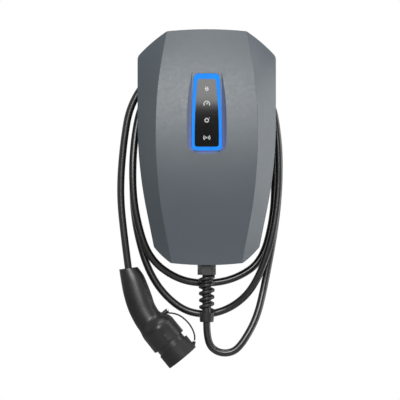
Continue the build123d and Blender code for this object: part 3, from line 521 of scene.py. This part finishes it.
def grip_ring(place):
    """Ring of the skin at a station: where each direction from its centre leaves the grip."""
    values = station(place)
    x, height, heading = values[:3]
    _, (cx, cz) = directions(heading)
    angle = 2 * math.pi * numpy.arange(GRIP_SIDES) / GRIP_SIDES
    cosine = numpy.cos(angle)
    sine = numpy.sin(angle)
    inner = numpy.zeros(GRIP_SIDES)
    outer = numpy.full(GRIP_SIDES, 2 * BODY_RADIUS)
    for _ in range(BISECTIONS):
        middle = (inner + outer) / 2
        inside = skin_distance(values, middle * cosine, middle * sine) < 0
        inner = numpy.where(inside, middle, inner)
        outer = numpy.where(inside, outer, middle)
    return [
        metres((x + across * cx, CONNECTOR_DEPTH + out, height + across * cz))
        for across, out in zip(inner * cosine, inner * sine)]


def round_ring(x, height, heading, along, radius, front=1.0, sides=GRIP_SIDES):
    """Circle across a heading, moved along it, with its front drawn in by a share."""
    (ax, az), (cx, cz) = directions(heading)
    ring = []
    for side in range(sides):
        angle = 2 * math.pi * side / sides
        across = radius * math.cos(angle)
        out = radius * math.sin(angle)
        if out > 0:
            out *= front
        ring.append(metres((
            x + along * ax + across * cx, CONNECTOR_DEPTH + out, height + along * az + across * cz)))
    return ring


def groove_rings():
    """Rings of the groove round the cable where it enters the handle."""
    entry = GRIP_STATIONS[0][:3]
    profile = [
        (0, CABLE_CORE), (GROOVE_DEPTH, CABLE_CORE), (GROOVE_DEPTH, GROOVE_RADIUS), (0, GROOVE_RADIUS)]
    return [round_ring(*entry, along, radius) for along, radius in profile]


def rim_rings():
    """Rings of the rounded rim at the round body's end."""
    front = float(front_share(0.0))
    rings = []
    for step in range(RIM_STEPS + 1):
        angle = math.pi / 2 * step / RIM_STEPS
        along = RIM_RADIUS * (math.sin(angle) - 1)
        radius = BODY_RADIUS - RIM_RADIUS * (1 - math.cos(angle))
        rings.append(round_ring(*GRIP_END, GRIP_HEADING, along, radius, front))
    return rings


def add_rings(name, rings):
    """Piece of the grip over its rings."""
    piece = link(name, ring_mesh(name, rings, SHARP_ANGLE), MATERIALS["grip_plastic"])
    ride(piece, "wallbox")
    return piece


def add_grip():
    """Skin of the grip, which ends just before the rim with room for its rounding."""
    last = len(GRIP_STATIONS) - 1 - RIM_ROOM / BODY_LENGTH
    skin = [grip_ring(last * index / GRIP_RINGS) for index in range(GRIP_RINGS + 1)]
    grip = add_rings("grip_skin", groove_rings() + skin + rim_rings())
    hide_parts("connector_grip")
    return grip


def add_lug():
    """Lug that holds the tether's screw, out of the side of the round body."""
    (ax, az), _ = directions(GRIP_HEADING)
    foot = (GRIP_END[0] + LUG_PLACE * ax, GRIP_END[1] + LUG_PLACE * az)
    profile = [
        (LUG_ROOT, LUG_RADIUS), (LUG_REACH - LUG_CHAMFER, LUG_RADIUS),
        (LUG_REACH, LUG_RADIUS - LUG_CHAMFER), (LUG_REACH, LUG_HOLE), (LUG_ROOT, LUG_HOLE)]
    return add_rings("tether_lug", [
        round_ring(*foot, 90 + GRIP_HEADING, reach, radius, sides=LUG_SIDES)
        for reach, radius in profile])


# Display: a plane tilted back round its top corner, in millimetres

DISPLAY_TILT = math.radians(1.6)
DISPLAY_CORNER = (0.0, 101.1, 143.5)
WINDOW_RISE = 0.4


def display_point(u, v, rise):
    """Point u across the display, v up along it from its corner and rise out of it."""
    depth = DISPLAY_CORNER[1] - v * math.sin(DISPLAY_TILT) + rise * math.cos(DISPLAY_TILT)
    height = DISPLAY_CORNER[2] + v * math.cos(DISPLAY_TILT) + rise * math.sin(DISPLAY_TILT)
    return metres((u, depth, height))


# Pictograms on the window, each round a centre at a true height

ICON_RISE = 0.05
ARC_STEPS = 20
DISC_SIDES = 20
HAIR_LINE = 0.7
THIN_LINE = 1.0
FIRM_LINE = 1.1
BOLD_LINE = 1.2


def icon_point(u, height):
    """Point just above the window at a true height."""
    v = (height - DISPLAY_CORNER[2]) / math.cos(DISPLAY_TILT)
    return display_point(u, v, WINDOW_RISE + ICON_RISE)


def polar(radius, degrees, centre=(0.0, 0.0)):
    turn = math.radians(degrees)
    return centre[0] + radius * math.cos(turn), centre[1] + radius * math.sin(turn)


class Pictogram:
    """Flat drawing of strokes, arcs and discs."""

    def __init__(self, name, height):
        self.name = name
        self.height = height
        self.shape = bmesh.new()

    def fill(self, outline):
        corners = [self.shape.verts.new(icon_point(u, self.height + v)) for u, v in outline]
        self.shape.faces.new(corners)

    def stroke(self, start, end, width):
        (u0, v0), (u1, v1) = start, end
        length = math.hypot(u1 - u0, v1 - v0)
        du = (v1 - v0) / length * width / 2
        dv = (u0 - u1) / length * width / 2
        self.fill([
            (u0 - du, v0 - dv), (u0 + du, v0 + dv), (u1 + du, v1 + dv), (u1 - du, v1 - dv)])

    def rays(self, angles, inner, outer, width):
        for angle in angles:
            self.stroke(polar(inner, angle), polar(outer, angle), width)

    def arc(self, radius, start, end, width, steps=ARC_STEPS):
        inner = radius - width / 2
        outer = radius + width / 2
        for step in range(steps):
            first = start + (end - start) * step / steps
            second = start + (end - start) * (step + 1) / steps
            self.fill([
                polar(inner, first), polar(outer, first), polar(outer, second), polar(inner, second)])

    def disc(self, radius, centre=(0.0, 0.0)):
        self.fill([polar(radius, 360 * side / DISC_SIDES, centre) for side in range(DISC_SIDES)])

    def finish(self):
        mesh = bpy.data.meshes.new(self.name)
        bmesh.ops.recalc_face_normals(self.shape, faces=self.shape.faces)
        self.shape.to_mesh(mesh)
        self.shape.free()
        ride(link(self.name, mesh, MATERIALS["icon_white"]), "wallbox")


PLUG_HEIGHT = 110.4
PLUG_BOWL_RADIUS = 3.4
PLUG_BOWL_ARC = (200, 340)
PLUG_BAR = ((-3.2, -0.2), (3.2, -0.2))
PLUG_PINS = [((-1.6, 0.2), (-1.6, 3.4)), ((1.6, 0.2), (1.6, 3.4))]
PLUG_LEAD = ((0.0, -3.4), (0.0, -5.2))


def add_plug_icon():
    icon = Pictogram("icon_plug", PLUG_HEIGHT)
    icon.arc(PLUG_BOWL_RADIUS, *PLUG_BOWL_ARC, FIRM_LINE)
    icon.stroke(*PLUG_BAR, BOLD_LINE)
    for pin in PLUG_PINS:
        icon.stroke(*pin, FIRM_LINE)
    icon.stroke(*PLUG_LEAD, FIRM_LINE)
    icon.finish()


DIAL_HEIGHT = 81.0
DIAL_RADIUS = 5.6
DIAL_ARC = (-35, 215)
DIAL_STEPS = 36
DIAL_NEEDLE = ((0.0, 0.0), (2.6, 3.4))
DIAL_HUB = 1.0
DIAL_MARKS = (0, 45, 90, 135, 180)
DIAL_MARK_REACH = (3.6, 4.9)


def add_dial_icon():
    icon = Pictogram("icon_dial", DIAL_HEIGHT)
    icon.arc(DIAL_RADIUS, *DIAL_ARC, THIN_LINE, DIAL_STEPS)
    icon.stroke(*DIAL_NEEDLE, FIRM_LINE)
    icon.disc(DIAL_HUB)
    icon.rays(DIAL_MARKS, *DIAL_MARK_REACH, HAIR_LINE)
    icon.finish()


GEAR_HEIGHT = 50.3
GEAR_RADIUS = 3.1
GEAR_STEPS = 32
GEAR_TEETH = 8
GEAR_TOOTH_REACH = (3.4, 4.6)
GEAR_DOT = 0.8
GEAR_DOT_CENTRE = (5.0, 4.6)


def add_gear_icon():
    icon = Pictogram("icon_gear", GEAR_HEIGHT)
    icon.arc(GEAR_RADIUS, 0, 360, THIN_LINE, GEAR_STEPS)
    angles = [360 * (tooth + 0.5) / GEAR_TEETH for tooth in range(GEAR_TEETH)]
    icon.rays(angles, *GEAR_TOOTH_REACH, BOLD_LINE)
    icon.disc(GEAR_DOT, GEAR_DOT_CENTRE)
    icon.finish()


WAVES_HEIGHT = 17.7
WAVES_HUB = 1.2
WAVES_RADII = (3.4, 6.0)
WAVES_SPREAD = 42


def add_waves_icon():
    icon = Pictogram("icon_waves", WAVES_HEIGHT)
    icon.disc(WAVES_HUB)
    for radius in WAVES_RADII:
        for side in (0, 180):
            icon.arc(radius, side - WAVES_SPREAD, side + WAVES_SPREAD, THIN_LINE)
    icon.finish()


# Light: plain soft boxes, a pale floor and a white background

WHITE = (1.0, 1.0, 1.0)
BACKGROUND = 1.0
AMBIENT = 0.08
FLOOR_HALF = 6.0
FLOOR_HEIGHT = -1.4
OBJECT_CENTRE = (0.0, -0.05, -0.05)
WINDOW_CENTRE = (0.0, -0.1, 0.08)

# Soft boxes: name, target, azimuth, elevation, distance, width, height and power
STUDIO = [
    ("front_low", WINDOW_CENTRE, -2.0, 11.15, 3.4, 1.7, 0.74, 91.6),
    ("front_high", WINDOW_CENTRE, -2.0, 23.9, 3.4, 1.7, 0.74, 65.0),
    ("top", OBJECT_CENTRE, 10.0, 68.0, 2.6, 1.6, 1.0, 37.0),
    ("right", OBJECT_CENTRE, 95.0, 0.0, 2.6, 1.7, 1.6, 41.7),
    ("right_high", OBJECT_CENTRE, 85.0, 38.0, 2.6, 1.4, 1.0, 25.2),
    ("right_low", OBJECT_CENTRE, 95.0, -34.0, 2.6, 1.4, 1.0, 36.8),
]


def soft_box(name, place, target, width, height, power, colour=WHITE):
    data = bpy.data.lights.new(name, "AREA")
    data.shape = "RECTANGLE"
    data.size = width
    data.size_y = height
    data.energy = power
    data.color = colour
    lamp = bpy.data.objects.new(name, data)
    lamp.location = place
    lamp.rotation_euler = (Vector(target) - Vector(place)).to_track_quat("-Z", "Y").to_euler()
    bpy.context.scene.collection.objects.link(lamp)
    return lamp


def placed(target, azimuth, elevation, distance):
    """Place seen from a target: azimuth to the right of straight out from the wall."""
    turn = math.radians(azimuth)
    lift = math.radians(elevation)
    return Vector(target) + distance * Vector((
        math.cos(lift) * math.sin(turn), -math.cos(lift) * math.cos(turn), math.sin(lift)))


def add_lights():
    for name, target, azimuth, elevation, distance, width, height, power in STUDIO:
        soft_box(name, placed(target, azimuth, elevation, distance), target, width, height, power)


def any_ray(tree, kinds):
    """Value that is 1 for rays of any of these kinds."""
    path = tree.nodes.new("ShaderNodeLightPath")
    value = path.outputs[kinds[0]]
    for kind in kinds[1:]:
        either = tree.nodes.new("ShaderNodeMath")
        either.operation = "MAXIMUM"
        tree.links.new(value, either.inputs[0])
        tree.links.new(path.outputs[kind], either.inputs[1])
        value = either.outputs["Value"]
    return value


def background(tree, strength):
    node = tree.nodes.new("ShaderNodeBackground")
    node.inputs["Color"].default_value = (*WHITE, 1.0)
    node.inputs["Strength"].default_value = strength
    return node.outputs["Background"]


def add_world():
    """White where it is seen, mirrored or seen through, and a dim even light otherwise."""
    world = bpy.data.worlds.new("studio")
    world.use_nodes = True
    bpy.context.scene.world = world
    tree = world.node_tree
    tree.nodes.clear()
    mix = tree.nodes.new("ShaderNodeMixShader")
    output = tree.nodes.new("ShaderNodeOutputWorld")
    seen = any_ray(tree, ("Is Camera Ray", "Is Glossy Ray", "Is Transmission Ray"))
    tree.links.new(seen, mix.inputs["Fac"])
    tree.links.new(background(tree, AMBIENT), mix.inputs[1])
    tree.links.new(background(tree, BACKGROUND), mix.inputs[2])
    tree.links.new(mix.outputs["Shader"], output.inputs["Surface"])


def add_floor():
    mesh = bpy.data.meshes.new("floor")
    shape = bmesh.new()
    bmesh.ops.create_grid(shape, x_segments=1, y_segments=1, size=FLOOR_HALF)
    shape.to_mesh(mesh)
    shape.free()
    floor = link("floor", mesh, MATERIALS["floor_paint"])
    floor.location = (0, 0, FLOOR_HEIGHT)


# Glow of the light guide on the walls of the recess: thin lamps along the ring, in millimetres

GLOW_COLOUR = (0.13, 0.2, 1.0)
GLOW_RISE = 3.0
GLOW_TARGET_RISE = 4.5
GLOW_WIDTH = 2.4
GLOW_TOP = -18.0
GLOW_BOTTOM = -146.0
GLOW_LAMPS = 6
GLOW_FIRST_POWER = 0.0008
GLOW_LAST_POWER = 0.0026
GLOW_BOTTOM_POWER = 0.004
GLOW_BOTTOM_LENGTH = 36.0
GLOW_INSET = 4.0
GLOW_REACH = 10.0
RING_BOTTOM = -150.1
RING_HALF = 27.0


def glow_lamp(name, place, target, length, power, long_axis):
    lamp = soft_box(name, place, target, length * MM, GLOW_WIDTH * MM, power, GLOW_COLOUR)
    lamp.rotation_euler = (target - place).to_track_quat("-Z", long_axis).to_euler()
    lamp.visible_camera = False


def add_glow():
    """Lamps up both sides of the ring, brighter towards its lower end, and one below."""
    length = (GLOW_TOP - GLOW_BOTTOM) / GLOW_LAMPS
    for index in range(GLOW_LAMPS):
        middle = GLOW_TOP - length * (index + 0.5)
        share = index / (GLOW_LAMPS - 1)
        power = GLOW_FIRST_POWER + (GLOW_LAST_POWER - GLOW_FIRST_POWER) * share
        for side in (-1, 1):
            place = display_point(side * (RING_HALF - GLOW_INSET), middle, GLOW_RISE)
            target = display_point(side * (RING_HALF + GLOW_REACH), middle, GLOW_TARGET_RISE)
            glow_lamp(f"glow_{side + 1}_{index}", place, target, length, power, "X")
    place = display_point(0, RING_BOTTOM + GLOW_INSET, GLOW_RISE)
    target = display_point(0, RING_BOTTOM - GLOW_REACH, GLOW_TARGET_RISE)
    glow_lamp("glow_bottom", place, target, GLOW_BOTTOM_LENGTH, GLOW_BOTTOM_POWER, "Y")


bpy.context.scene.view_settings.view_transform = "Standard"
add_camera()
connector_nodes = [nodes[name] for name in (
    "nose_shroud", "contact_carrier", "power_contacts", "signal_contacts", "tether_screw", "dust_cap")]
add_cable([add_grip(), add_lug()] + connector_nodes)
add_tether()
dress_nodes()
add_plug_icon()
add_dial_icon()
add_gear_icon()
add_waves_icon()
add_lights()
add_glow()
add_world()
add_floor()
